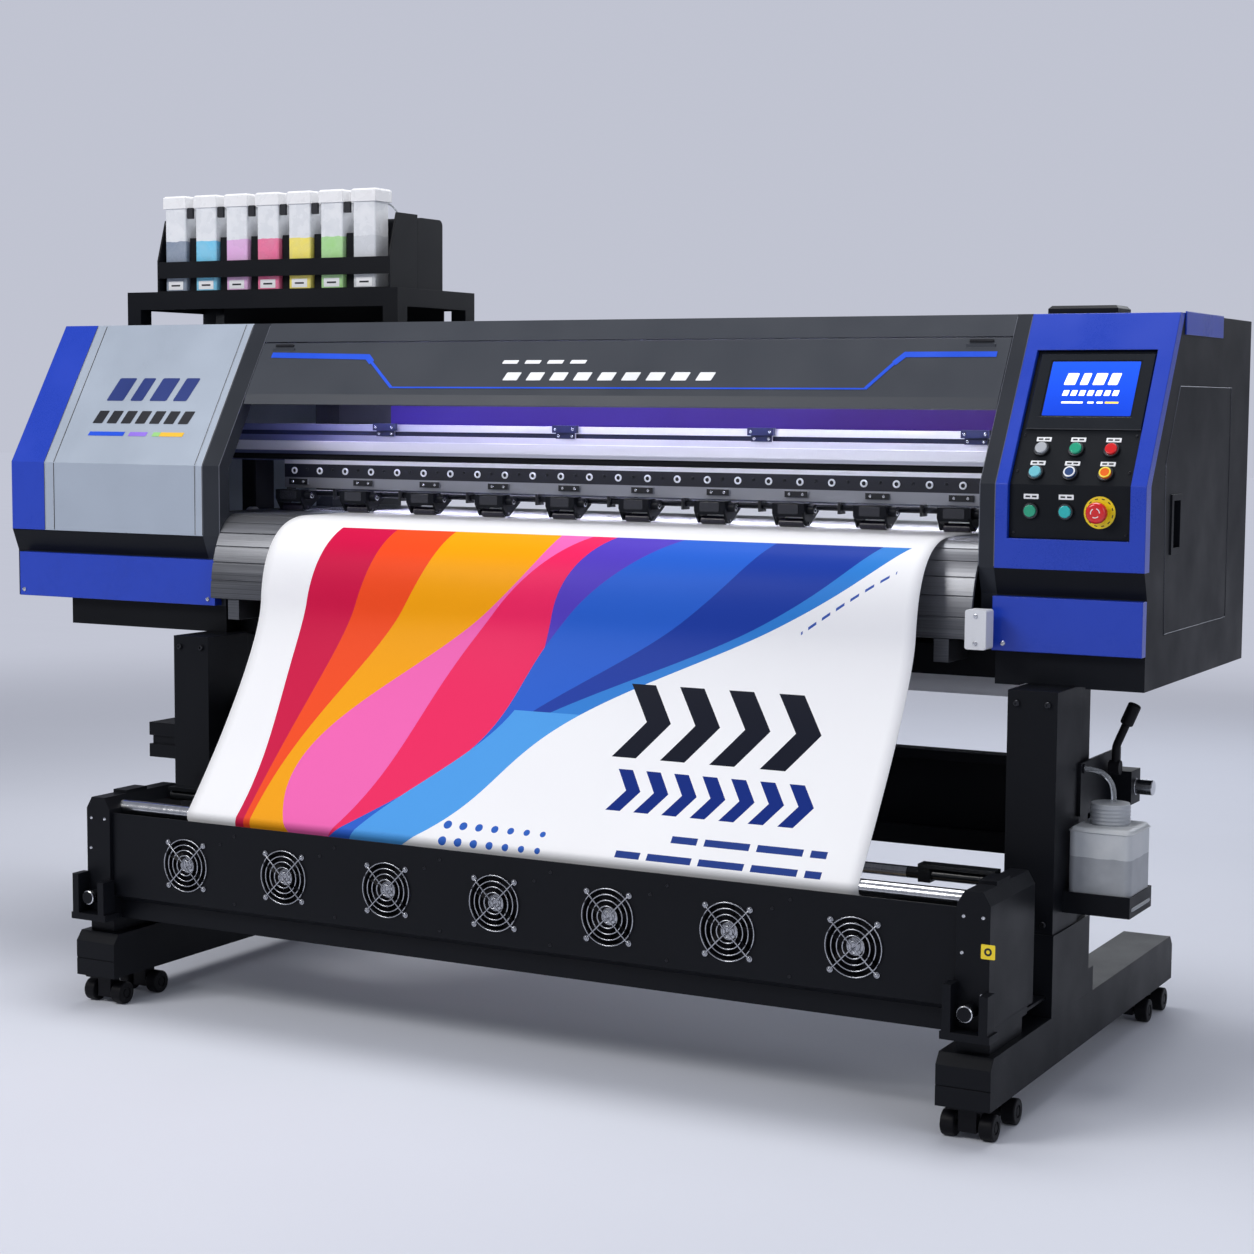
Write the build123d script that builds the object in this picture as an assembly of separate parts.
from build123d import *
import math
import os

# Wide-format roll-to-roll flex printer with a cutter tool, millimetres.
# Origin: floor level, under the middle of the whole machine. Front is -Y, up is +Z.

# ---------------------------------------------------------------- head envelope
HEAD_HALF = 1368.0        # half length of the head over both end covers
HEAD_BACK = 600.0         # rear face of the head
HEAD_TOP = 1465.0         # flat top of the head
FACE_Y = -136.0           # vertical part of the front face
KINK_Z = 1141.0           # height where the front starts to lean back
FACE_BOTTOM = 982.0       # lower edge of the vertical front face
TOP_EDGE_Y = 62.0         # front edge of the flat top
CHIN_Y = -116.0           # recessed front below the face
CHIN_Z = 932.0            # bottom of the slanted chin
SKIRT_Y = -140.0          # front of the blue skirts
SKIRT_TOP = 929.0
SKIRT_BOTTOM = 826.0
BASE_TOP = 824.0          # top of the chassis base
BASE_BOTTOM = 764.0
BASE_BACK = HEAD_BACK - 60
BASE_FRONT = -60.0
SHEET = 4.0               # moulded and folded cover wall
GAP = 1.5                 # visible gap round doors and lids
SLOPE = (TOP_EDGE_Y - FACE_Y) / (HEAD_TOP - KINK_Z)
LEAN = math.degrees(math.atan(SLOPE))

# ---------------------------------------------------------------- bay between the bulkheads
LEFT_WALL_OUT = -801.0
LEFT_WALL_IN = -753.0
RIGHT_WALL_IN = 1046.5
RIGHT_WALL_OUT = 1078.0
WINDOW_TOP = 1290.0       # window in each bulkhead
WINDOW_BACK = 300.0
LINING_Y = 330.0          # rear lining of the bay
LID_TOP = 1419.0
LID_LIP = 1303.0
BAY_TOP = 1280.0
HINGE_X = (-690.0, 985.0)

# ---------------------------------------------------------------- end covers and side door
LEFT_BAND = -1267.0       # inner edge of the blue band at the left end
BAND_RETURN = 60.0        # how far the blue band wraps onto the side
TOP_BAND_BACK = 364.0     # rear end of the blue band on the right
TRIM_PROUD = 3.0          # how far blue bands stand off the covers
CHASSIS_LEFT = -1206.0
SUPPORT_FRONT = 150.0     # box that carries the media table
SUPPORT_BACK = 380.0
DOOR_NOSE = (-15.0, 1181.0)
DOOR_FOOT_Y = 0.0
DOOR_HEAD_Y = 71.0
DOOR_REAR = 450.0         # hinge edge
DOOR_LOW = 859.0
DOOR_HIGH = 1326.0
DOOR_HINGE_Z = (920.0, 1260.0)
PULL_FRONT = 26.0         # recessed pull of the door
PULL_BACK = 96.0
PULL_LOW = 1008.0
PULL_HIGH = 1122.0
PULL_FRAME = 12.0
VENT_LEFT = 1095.0
VENT_RIGHT = 1235.0
VENT_FRONT = 98.0
VENT_BACK = 182.0
VENT_HEIGHT = 17.0

# ---------------------------------------------------------------- print plane and drives
PLATEN_TOP = 1033.0
PLATEN_THICK = 20.0
PLATEN_FRONT = -75.0
PLATEN_REAR = 500.0
REAR_BEND = 60.0
ROLLER_Y = 84.0           # contact line of grit and pinch rollers
GRIT_R = 12.0
PINCH_R = 9.0
PINCH_LENGTH = 56.0
PINCH_COUNT = 10
PINCH_PITCH = 181.0
PINCH_LAST_X = 922.0
MEDIA_THICK = 0.8
FIT = 0.3                 # clearance of a moving part
PINCH_AXIS_Z = PLATEN_TOP + FIT + MEDIA_THICK + FIT + PINCH_R
GRIT_AXIS_Z = PLATEN_TOP - GRIT_R - FIT
GRIT_SHAFT_R = 8.0
PIVOT_Y = 128.0           # lifting shaft of the pinch arms
PIVOT_Z = 1075.0
PIVOT_R = 7.0
STRIP_BOTTOM = 1087.0     # mounting strip above the pinch arms
HEATER_BOTTOM = 845.0
HEATER_REACH = 96.0
HEATER_SLATS = 7

# ---------------------------------------------------------------- media
MEDIA_LEFT = -559.0
MEDIA_WIDTH = 1524.0
TAIL_Z = 650.0            # free end of the sheet behind the machine
LOOP_Y = -243.0           # foremost line of the slack sheet
LOOP_Z = 850.0

# ---------------------------------------------------------------- carriage
BEAM_FRONT = 110.0
BEAM_BACK = 190.0
BEAM_BOTTOM = 1150.0
BEAM_TOP = 1235.0
BEAM_LEFT = -1240.0
BEAM_RIGHT = 1350.0
RAIL_Z = 1185.0
RAIL_HEIGHT = 22.0
RAIL_DEPTH = 12.0
BRACKET_COUNT = 4
BRACKET_PITCH = 472.0
BRACKET_LAST_X = 949.0
BELT_Y = 130.0
BELT_Z = 1159.0
BELT_WIDTH = 10.0
BELT_THICK = 1.5
BELT_LEFT = -1215.0
BELT_RIGHT = 1325.0
PULLEY_R = 11.5
CARRIAGE_X = 1222.0       # parked position
CARRIAGE_WIDTH = 250.0
CARRIAGE_FRONT = -78.0
CARRIAGE_BACK = 50.0
CARRIAGE_TOP = 1245.0
HEAD_CLEARANCE = 5.0      # head plate above the platen
TOOL_Y = -24.0            # cutter tool at the carriage's left side
TOOL_R = 8.0

# ---------------------------------------------------------------- stand
STAND_X = 215.0           # middle of the stand
HOUSING_OFFSET = 952.0    # inner face of each housing from the stand middle
FOOT_OFFSET = HOUSING_OFFSET + 25
FOOT_WIDTH = 102.0
FOOT_FRONT = -562.0
FOOT_REAR = 579.0
FOOT_BOTTOM = 62.0
FOOT_TOP = 156.0
COLUMN_WIDTH = 96.0
COLUMN_FRONT = -231.0
COLUMN_STEP = -87.0
COLUMN_REAR = -14.0
SOCKET_TOP = 311.0
BEAM_Z0 = 410.0           # rear beam
BEAM_Z1 = 604.0
REAR_BEAM_BACK = 46.0
WHEEL_R = 24.0
WHEEL_WIDTH = 26.0
WHEEL_OFFSET = 36.0
CASTER_Y = (-520.0, -405.0, 425.0, 538.0)

# ---------------------------------------------------------------- dryer and take-up
DRYER_FRONT = -531.0
DRYER_TOP = 413.0
DRYER_BOTTOM = 183.0
DRYER_BACK = -300.0
HOUSING_WIDTH = 62.0
HOUSING_FRONT = -540.0
HOUSING_BACK = -303.0
HOUSING_BOTTOM = 200.0
HOUSING_TOP = 445.0
BAR_Y = -485.0
BAR_Z = 418.0
BAR_R = 17.0
TAKEUP_Y = -405.0
TAKEUP_Z = 300.0
TAKEUP_R = 45.0
FAN_COUNT = 7
FAN_PITCH = round(HOUSING_OFFSET * 0.2644, 1)
FAN_Z = 319.0
FAN_R = 53.0
GUARD_R = 57.0
GUARD_RINGS = 5
GUARD_INNER_R = 12.0
GUARD_ARM = 65.0
WIRE = 2.4
CORE_R = 38.0
JOURNAL_R = 15.0
GUIDE_Y = -330.0          # fixed roller behind the trough
GUIDE_Z = 424.0
GUIDE_R = 11.0
KNOB_Z = 235.0

# ---------------------------------------------------------------- feed side
FEED_Y = 125.0
FEED_Z = 545.0
FEED_R = 16.0
FEED_RIGHT = STAND_X + FOOT_OFFSET + 130
FEED_LEFT = STAND_X - FOOT_OFFSET - 88
FEED_END_R = 15.0         # plain end that a hand wheel fits
FEED_END = 34.0
CORE_X = (STAND_X - FOOT_OFFSET + 122, STAND_X + FOOT_OFFSET - 122)
BRACKET_PLATE = 6.0
LEVER_X = 1252.0
LEVER_Y = 60.0
LEVER_Z = 590.0
LEVER_TUBE_R = 8.0
MOTOR_FRONT = -150.0
MOTOR_BACK = -60.0
MOTOR_LOW = 470.0
MOTOR_HIGH = 550.0

# ---------------------------------------------------------------- control panel
PANEL_LEFT = 1102.0
PANEL_RIGHT = 1338.0
PANEL_LOW = 1039.0
PANEL_HIGH = 1394.0
PANEL_RECESS = 10.0       # panel surface behind the bezel, along Y
BEZEL_DEPTH = 30.0
SCREEN_X = 1223.0
SCREEN_Z = 1313.0
SCREEN_WIDTH = 224.0
SCREEN_HEIGHT = 168.0
BUTTON_STEM_R = 5.0
BUTTON_CAP_R = 11.4
BUTTON_RING_R = 14.8
BUTTON_ROWS = (
    (1151.0, 1205.0),
    (1218.0, 1205.0),
    (1286.0, 1205.0),
    (1149.0, 1161.0),
    (1216.0, 1161.0),
    (1284.0, 1161.0),
    (1145.0, 1091.0),
    (1213.0, 1091.0),
)
ESTOP_X = 1278.0
ESTOP_Z = 1091.0
ESTOP_STEM_R = 8.0

# ---------------------------------------------------------------- ink supply
SHELF_LEFT = -1242.0
SHELF_RIGHT = -457.0
SHELF_FRONT = 140.0
SHELF_BACK = 470.0
SHELF_TOP = HEAD_TOP + 82
SHELF_LEG = 40.0
RACK_LEFT = -1164.0
RACK_RIGHT = -489.0
RACK_FRONT = 158.0
RACK_BACK = 272.0
PUMP_BACK = 379.0
RACK_TOP = SHELF_TOP + 173
RACK_WAIST = SHELF_TOP + 75  # height where the cheeks start to lean back
TANK_COUNT = 7
TANK_PITCH = 91.5
TANK_FIRST_X = -1150.0
TANK_WIDTH = 62.0
TANK_DEPTH = 56.0
TANK_TOP = SHELF_TOP + 229

# ---------------------------------------------------------------- waste ink
BOTTLE_X = 1306.0
BOTTLE_Y = -105.0
BOTTLE_WIDTH = 120.0
BOTTLE_DEPTH = 130.0
BOTTLE_BOTTOM = 350.0
BOTTLE_TOP = 508.0
NECK_TOP = 548.0
HOSE_R = 5.0
HOSE_RUN = 24.0           # straight run between two bends of the hose's route
HOSE_TURN = 30.0
HOSE_Y = BOTTLE_Y + 20
HOSE_REACH = HOSE_RUN * sum(math.cos(math.radians(HOSE_TURN * i)) for i in range(3))
HOSE_START_X = BOTTLE_X - HOSE_REACH
HOSE_START_Z = NECK_TOP + HOSE_REACH


# ---------------------------------------------------------------- shape helpers
def block(x0, x1, y0, y1, z0, z1):
    """Box between two corners."""
    size = Box(x1 - x0, y1 - y0, z1 - z0)
    return Pos((x0 + x1) / 2, (y0 + y1) / 2, (z0 + z1) / 2) * size


def rod_x(radius, x0, x1, y, z):
    """Round bar along X."""
    bar = Rot(0, 90, 0) * Cylinder(radius, x1 - x0)
    return Pos((x0 + x1) / 2, y, z) * bar


def rod_y(radius, y0, y1, x, z):
    """Round bar along Y."""
    bar = Rot(90, 0, 0) * Cylinder(radius, y1 - y0)
    return Pos(x, (y0 + y1) / 2, z) * bar


def rod_z(radius, z0, z1, x, y):
    """Round bar along Z."""
    return Pos(x, y, (z0 + z1) / 2) * Cylinder(radius, z1 - z0)


def prism(points, x0, x1):
    """Side outline (Y, Z) carried along X."""
    side = Plane((x0, 0, 0), x_dir=(0, 1, 0), z_dir=(1, 0, 0))
    return extrude(side * Polygon(*points, align=None), amount=x1 - x0, dir=(1, 0, 0))


def front_prism(points, y0, y1):
    """Front outline (X, Z) carried along Y."""
    front = Plane((0, y0, 0), x_dir=(1, 0, 0), z_dir=(0, -1, 0))
    return extrude(front * Polygon(*points, align=None), amount=y1 - y0, dir=(0, 1, 0))


def offset_line(points, distance):
    """Open line moved to its right by distance, with mitred corners."""
    normals = []
    for a, b in zip(points, points[1:]):
        length = math.hypot(b[0] - a[0], b[1] - a[1])
        normals.append(((b[1] - a[1]) / length, -(b[0] - a[0]) / length))
    moved = []
    for i, point in enumerate(points):
        before = normals[max(i - 1, 0)]
        after = normals[min(i, len(normals) - 1)]
        scale = distance / (1 + before[0] * after[0] + before[1] * after[1])
        moved.append((point[0] + (before[0] + after[0]) * scale,
                      point[1] + (before[1] + after[1]) * scale))
    return moved


def bent_sheet(points, wall, x0, x1):
    """Folded sheet: the open side outline is its outer face, the wall lies to its right."""
    return prism(points + offset_line(points, wall)[::-1], x0, x1)


def shell(points, wall, x0, x1, open_left):
    """Closed case with the given side outline, open on its left or right end."""
    outer = prism(points, x0, x1)
    side = Plane((0, 0, 0), x_dir=(0, 1, 0), z_dir=(1, 0, 0))
    inner_face = offset(side * Polygon(*points, align=None), amount=-wall, kind=Kind.INTERSECTION)
    start = x0 - wall if open_left else x0 + wall
    end = x1 - wall if open_left else x1 + wall
    hollow = Pos(start, 0, 0) * extrude(inner_face, amount=end - start, dir=(1, 0, 0))
    return outer - hollow


def face_y(z):
    """Y of the head's front skin at height z."""
    return FACE_Y + max(z - KINK_Z, 0) * SLOPE


def on_panel(x, z, height=0.0):
    """Place on the control panel, with local Z along the panel's normal."""
    y = face_y(z) + PANEL_RECESS
    lean = math.radians(LEAN) if z > KINK_Z else 0.0
    normal = (0, -math.cos(lean), math.sin(lean))
    here = (x, y + normal[1] * height, z + normal[2] * height)
    return Plane(here, x_dir=(1, 0, 0), z_dir=normal)


def lies(plane, radius, h0, h1):
    """Round boss on a plane from height h0 to h1."""
    return plane * (Pos(0, 0, (h0 + h1) / 2) * Cylinder(radius, h1 - h0))


def foot_x(side):
    return STAND_X + side * FOOT_OFFSET


def housing_span(side):
    """Inner and outer X of a take-up housing, lowest first."""
    inner = STAND_X + side * HOUSING_OFFSET
    outer = inner + side * HOUSING_WIDTH
    return min(inner, outer), max(inner, outer)


def pinch_x():
    return [PINCH_LAST_X - PINCH_PITCH * i for i in range(PINCH_COUNT)]


def fan_x():
    middle = (FAN_COUNT - 1) / 2
    return [STAND_X + FAN_PITCH * (i - middle) for i in range(FAN_COUNT)]


def group(solids):
    """Several separate solids kept in one node."""
    flat = []
    for item in solids:
        flat.extend(item.solids())
    return Compound(children=flat)


# ---------------------------------------------------------------- stand
def stand_feet():
    chamfer_run = 16.0
    groove = 2.0
    shoulder = 136.0
    feet = []
    for side in (-1, 1):
        x0 = foot_x(side) - FOOT_WIDTH / 2
        x1 = foot_x(side) + FOOT_WIDTH / 2
        outline = [(FOOT_FRONT, FOOT_BOTTOM), (FOOT_REAR, FOOT_BOTTOM), (FOOT_REAR, shoulder),
                   (FOOT_REAR - chamfer_run, FOOT_TOP), (FOOT_FRONT + chamfer_run, FOOT_TOP),
                   (FOOT_FRONT, shoulder)]
        foot = prism(outline, x0, x1)
        middle = (FOOT_BOTTOM + shoulder) / 2
        for y0, y1 in ((FOOT_FRONT - 1, FOOT_FRONT + groove), (FOOT_REAR - groove, FOOT_REAR + 1)):
            foot -= block(x0 - 1, x1 + 1, y0, y1, middle - 1, middle + 1)
        feet.append(foot)
    return group(feet)


def stand_columns():
    flange = 8.0
    socket_wall = 3.0
    columns = []
    for side in (-1, 1):
        x = foot_x(side)
        half = COLUMN_WIDTH / 2
        front = block(x - half, x + half, COLUMN_FRONT, COLUMN_STEP, FOOT_TOP, BASE_BOTTOM)
        rear = block(x - half + 6, x + half - 6, COLUMN_STEP, COLUMN_REAR, FOOT_TOP, BASE_BOTTOM)
        socket = block(x - half - socket_wall, x + half + socket_wall, COLUMN_FRONT - socket_wall,
                       COLUMN_REAR + 30, FOOT_TOP, SOCKET_TOP)
        notch = block(x - half - 9, x + half + 9, COLUMN_REAR, COLUMN_REAR + 40, 205, SOCKET_TOP + 1)
        top = block(x - half - 14, x + half + 14, BASE_FRONT + 2, COLUMN_REAR + 60,
                    BASE_BOTTOM - flange, BASE_BOTTOM)
        columns.append(front + rear + (socket - notch) + top)
    return group(columns)


def caster_forks():
    stem_half = 17.0
    plate = 5.0
    forks = []
    for side in (-1, 1):
        for y in CASTER_Y:
            x = foot_x(side)
            mount = block(x - 34, x + 34, y - 34, y + 34, FOOT_BOTTOM - plate, FOOT_BOTTOM)
            stem = block(x - stem_half, x + stem_half, y - 15, y + 15, WHEEL_R - 11,
                         FOOT_BOTTOM - plate)
            stem -= rod_x(5.0 + FIT, x - 30, x + 30, y, WHEEL_R)
            forks.append(mount + stem)
    return group(forks)


def caster_wheels(y):
    hub_r = 12.0
    sets = []
    for side in (-1, 1):
        x = foot_x(side)
        axle = rod_x(5.0, x - WHEEL_OFFSET, x + WHEEL_OFFSET, y, WHEEL_R)
        pair = axle
        for end in (-1, 1):
            middle = x + end * WHEEL_OFFSET
            tread = rod_x(WHEEL_R, middle - WHEEL_WIDTH / 2, middle + WHEEL_WIDTH / 2, y, WHEEL_R)
            tread = fillet(tread.edges().filter_by(GeomType.CIRCLE), 3.0)
            outer = middle + end * WHEEL_WIDTH / 2
            recess = rod_x(hub_r, outer - 2, outer + 2, y, WHEEL_R)
            cap = rod_x(hub_r - 4, outer - 3, outer - 0.5, y, WHEEL_R)
            pair += tread - recess + cap
        sets.append(pair)
    return group(sets)


def rear_beam():
    """C-section tie between the columns, open to the front."""
    wall = 6.0
    x0 = foot_x(-1) - COLUMN_WIDTH / 2
    x1 = foot_x(1) + COLUMN_WIDTH / 2
    y0 = COLUMN_REAR + 18
    outline = [(y0, BEAM_Z0), (REAR_BEAM_BACK, BEAM_Z0), (REAR_BEAM_BACK, BEAM_Z1), (y0, BEAM_Z1),
               (y0, BEAM_Z1 - 19), (y0 + wall, BEAM_Z1 - 19), (y0 + wall, BEAM_Z1 - wall),
               (REAR_BEAM_BACK - wall, BEAM_Z1 - wall), (REAR_BEAM_BACK - wall, BEAM_Z0 + wall),
               (y0 + wall, BEAM_Z0 + wall), (y0 + wall, BEAM_Z0 + 40), (y0, BEAM_Z0 + 40)]
    beam = prism(outline, x0, x1)
    for side in (-1, 1):
        x = foot_x(side)
        beam += block(x - 30, x + 30, COLUMN_REAR, y0, BEAM_Z0, BEAM_Z1)
    return beam


# ---------------------------------------------------------------- head structure
def head_chassis():
    wall = 4.0
    front_y = CHIN_Y + 2
    left = CHASSIS_LEFT
    right = HEAD_HALF - SHEET
    base = block(left, right, BASE_FRONT, BASE_BACK, BASE_BOTTOM, BASE_TOP)
    base += block(left, LEFT_WALL_IN, front_y, BASE_FRONT, BASE_BOTTOM, BASE_TOP)
    base += block(RIGHT_WALL_OUT, right, CHIN_Y + SHEET, BASE_FRONT, BASE_BOTTOM, BASE_TOP)
    base -= block(left + wall, right - wall, BASE_FRONT + wall, BASE_BACK - wall,
                  BASE_BOTTOM + wall, BASE_TOP - wall)
    table_x0 = LEFT_WALL_IN + 20
    table_x1 = RIGHT_WALL_IN - 20
    table_low = PLATEN_TOP - PLATEN_THICK
    support = block(table_x0, table_x1, SUPPORT_FRONT, SUPPORT_BACK, BASE_TOP, table_low)
    support -= block(table_x0 + wall, table_x1 - wall, SUPPORT_FRONT + wall, SUPPORT_BACK - wall,
                     BASE_TOP - 1, table_low - wall)
    frame = base + support
    for x in (LEFT_WALL_OUT - 60, RIGHT_WALL_OUT + 110):
        frame += block(x - 20, x + 20, BEAM_FRONT + 5, BEAM_BACK - 5, BASE_TOP, BEAM_BOTTOM)
    return frame


def bulkhead_outline():
    return [(CHIN_Y, BASE_TOP), (CHIN_Y, CHIN_Z), (FACE_Y, FACE_BOTTOM), (FACE_Y, KINK_Z),
            (TOP_EDGE_Y, HEAD_TOP), (HEAD_BACK - SHEET, HEAD_TOP), (HEAD_BACK - SHEET, BASE_TOP)]


def bay_bulkheads():
    """Side walls of the print bay, with a window for the carriage and its beam."""
    rim = 36.0
    low = PLATEN_TOP + 3
    high = WINDOW_TOP
    window = [(FACE_Y + rim, low), (FACE_Y + rim, KINK_Z - 6), (face_y(high) + rim, high),
              (WINDOW_BACK, high), (WINDOW_BACK, low)]
    walls = []
    for x0, x1 in ((LEFT_WALL_OUT, LEFT_WALL_IN), (RIGHT_WALL_IN, RIGHT_WALL_OUT)):
        wall = prism(bulkhead_outline(), x0, x1) - prism(window, x0 - 1, x1 + 1)
        wall -= rod_x(GRIT_SHAFT_R + FIT, x0 - 1, x1 + 1, ROLLER_Y, GRIT_AXIS_Z)
        walls.append(wall)
    return group(walls)


def head_profile():
    """Front, slanted face, top and back of an end cover, as one folded line."""
    return [(FACE_Y, FACE_BOTTOM), (FACE_Y, KINK_Z), (TOP_EDGE_Y, HEAD_TOP), (HEAD_BACK, HEAD_TOP),
            (HEAD_BACK, BASE_TOP)]


def left_end_cover():
    cover = bent_sheet(head_profile(), SHEET, LEFT_BAND, LEFT_WALL_OUT)
    rear = [(TOP_EDGE_Y + BAND_RETURN, HEAD_TOP), (HEAD_BACK, HEAD_TOP), (HEAD_BACK, BASE_TOP)]
    return cover + bent_sheet(rear, SHEET, -HEAD_HALF + SHEET, LEFT_BAND)


def left_trim():
    front = [(FACE_Y, FACE_BOTTOM), (FACE_Y, KINK_Z), (TOP_EDGE_Y, HEAD_TOP),
             (TOP_EDGE_Y + BAND_RETURN, HEAD_TOP)]
    band = bent_sheet(front, SHEET, -HEAD_HALF + SHEET, LEFT_BAND)
    side = front + [(FACE_Y + BAND_RETURN, KINK_Z), (FACE_Y + BAND_RETURN, FACE_BOTTOM)]
    band += prism(side, -HEAD_HALF, -HEAD_HALF + SHEET)
    return group([band, skirt(-HEAD_HALF + 25, LEFT_WALL_IN - 12)])


def skirt(x0, x1):
    """Shallow tray closing the front below the chin."""
    tray = block(x0, x1, SKIRT_Y, CHIN_Y, SKIRT_BOTTOM, SKIRT_TOP)
    tray -= block(x0 + SHEET, x1 - SHEET, SKIRT_Y + SHEET, CHIN_Y + 1,
                  SKIRT_BOTTOM + SHEET, SKIRT_TOP - SHEET)
    return tray


def left_side_panel():
    """Dark side wall and chin of the left end cover."""
    back = HEAD_BACK
    side = [(CHIN_Y, BASE_TOP), (CHIN_Y, CHIN_Z), (FACE_Y, FACE_BOTTOM),
            (FACE_Y + BAND_RETURN, FACE_BOTTOM), (FACE_Y + BAND_RETURN, KINK_Z),
            (TOP_EDGE_Y + BAND_RETURN, HEAD_TOP), (back, HEAD_TOP), (back, BASE_TOP)]
    panel = prism(side, -HEAD_HALF, -HEAD_HALF + SHEET)
    seam = 1.6
    lean = (CHIN_Y - FACE_Y) / (FACE_BOTTOM - CHIN_Z)
    chin = [(CHIN_Y, BASE_TOP), (CHIN_Y, CHIN_Z), (FACE_Y + seam * lean, FACE_BOTTOM - seam)]
    return panel + bent_sheet(chin, SHEET, -HEAD_HALF, LEFT_WALL_OUT)


def door_outline(grow):
    """Side door edge, grown by the given gap on every side."""
    nose_y, nose_z = DOOR_NOSE
    low = DOOR_LOW - grow
    high = DOOR_HIGH + grow
    return [(nose_y - grow, nose_z), (DOOR_FOOT_Y - grow, low), (DOOR_REAR + grow, low),
            (DOOR_REAR + grow, high), (DOOR_HEAD_Y - grow, high)]


def cabinet_outline():
    inner = FACE_Y + BEZEL_DEPTH
    return [(CHIN_Y - 2, BASE_BOTTOM - SHEET), (CHIN_Y - 2, BASE_TOP), (CHIN_Y, BASE_TOP),
            (CHIN_Y, CHIN_Z), (FACE_Y, FACE_BOTTOM), (inner, FACE_BOTTOM), (inner, KINK_Z),
            (TOP_EDGE_Y + BEZEL_DEPTH, HEAD_TOP), (HEAD_BACK, HEAD_TOP),
            (HEAD_BACK, BASE_BOTTOM - SHEET)]


def right_cabinet():
    case = shell(cabinet_outline(), SHEET, RIGHT_WALL_OUT, HEAD_HALF, True)
    case -= prism(door_outline(GAP), HEAD_HALF - SHEET - 1, HEAD_HALF + 1)
    column = foot_x(1)
    case -= block(column - 64, column + 64, COLUMN_FRONT, COLUMN_REAR + 62,
                  BASE_BOTTOM - SHEET - 1, BASE_BOTTOM)
    vent = block(VENT_LEFT, VENT_RIGHT, VENT_FRONT, VENT_BACK, HEAD_TOP, HEAD_TOP + VENT_HEIGHT)
    vent = chamfer(vent.faces().sort_by(Axis.Z)[-1].edges(), 6)
    return case + vent


def side_door():
    """Door with a recessed pull and two hinge barrels."""
    door = prism(door_outline(0), HEAD_HALF - SHEET, HEAD_HALF)
    depth = 14.0
    inner_y0, inner_y1 = PULL_FRONT + PULL_FRAME, PULL_BACK - PULL_FRAME
    inner_z0, inner_z1 = PULL_LOW + PULL_FRAME, PULL_HIGH - PULL_FRAME
    frame = block(HEAD_HALF - depth - 3, HEAD_HALF + TRIM_PROUD, PULL_FRONT, PULL_BACK,
                  PULL_LOW, PULL_HIGH)
    pocket = block(HEAD_HALF - depth, HEAD_HALF + TRIM_PROUD + 1, inner_y0, inner_y1,
                   inner_z0, inner_z1)
    grip = block(HEAD_HALF - depth, HEAD_HALF, inner_y0, inner_y0 + 12, inner_z0, inner_z1)
    door = door + frame - pocket + grip
    for z in DOOR_HINGE_Z:
        door += rod_z(5.0, z - 20, z + 20, HEAD_HALF - 8.5, DOOR_REAR - 8)
    return door


def right_trim():
    """Blue bezel round the control panel, the skirt below and the band on top."""
    side = [(FACE_Y, FACE_BOTTOM), (FACE_Y, KINK_Z), (TOP_EDGE_Y, HEAD_TOP),
            (TOP_EDGE_Y + BEZEL_DEPTH, HEAD_TOP), (FACE_Y + BEZEL_DEPTH, KINK_Z),
            (FACE_Y + BEZEL_DEPTH, FACE_BOTTOM)]
    bezel = prism(side, RIGHT_WALL_OUT, HEAD_HALF)
    bezel -= block(PANEL_LEFT, PANEL_RIGHT, FACE_Y - 1, HEAD_BACK, PANEL_LOW, PANEL_HIGH)
    proud = HEAD_HALF + TRIM_PROUD
    high = HEAD_TOP + TRIM_PROUD
    cap = block(RIGHT_WALL_OUT, proud, VENT_BACK + 5, TOP_BAND_BACK, HEAD_TOP, high)
    cap += block(HEAD_HALF, proud, TOP_EDGE_Y + BEZEL_DEPTH + 1, TOP_BAND_BACK, HEAD_TOP - 41, high)
    return group([bezel, skirt(RIGHT_WALL_OUT, HEAD_HALF), cap])


def control_panel():
    """Panel plate that fills the bezel and carries every control."""
    edge = 1.0
    low = PANEL_LOW + edge
    high = PANEL_HIGH - edge
    depth = BEZEL_DEPTH
    side = [(FACE_Y + PANEL_RECESS, low), (FACE_Y + PANEL_RECESS, KINK_Z),
            (face_y(high) + PANEL_RECESS, high), (face_y(high) + depth, high),
            (FACE_Y + depth, KINK_Z), (FACE_Y + depth, low)]
    panel = prism(side, PANEL_LEFT + edge, PANEL_RIGHT - edge)
    for x, z in BUTTON_ROWS:
        panel -= lies(on_panel(x, z), BUTTON_STEM_R + FIT, -17, 10)
    panel -= lies(on_panel(ESTOP_X, ESTOP_Z), ESTOP_STEM_R + FIT, -19, 10)
    return panel


def touch_screen():
    glass_w, glass_h, rebate = 178.0, 126.0, 2.0
    plane = on_panel(SCREEN_X, SCREEN_Z)
    housing = Pos(0, 0, 2.5) * Box(SCREEN_WIDTH, SCREEN_HEIGHT, 5)
    housing = chamfer(housing.faces().sort_by(Axis.Z)[-1].edges(), 1.5)
    housing -= Pos(0, 6, 5 - rebate / 2) * Box(glass_w, glass_h, rebate)
    glass = Pos(0, 6, 5 - rebate + 0.5) * Box(glass_w - 1, glass_h - 1, 1)
    return group([plane * housing, plane * glass])


def button_bezels():
    rings = []
    for x, z in BUTTON_ROWS:
        plane = on_panel(x, z)
        ring = lies(plane, BUTTON_RING_R, 0, 5) - lies(plane, BUTTON_CAP_R + FIT, -1, 6)
        rings.append(ring)
    return group(rings)


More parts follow.
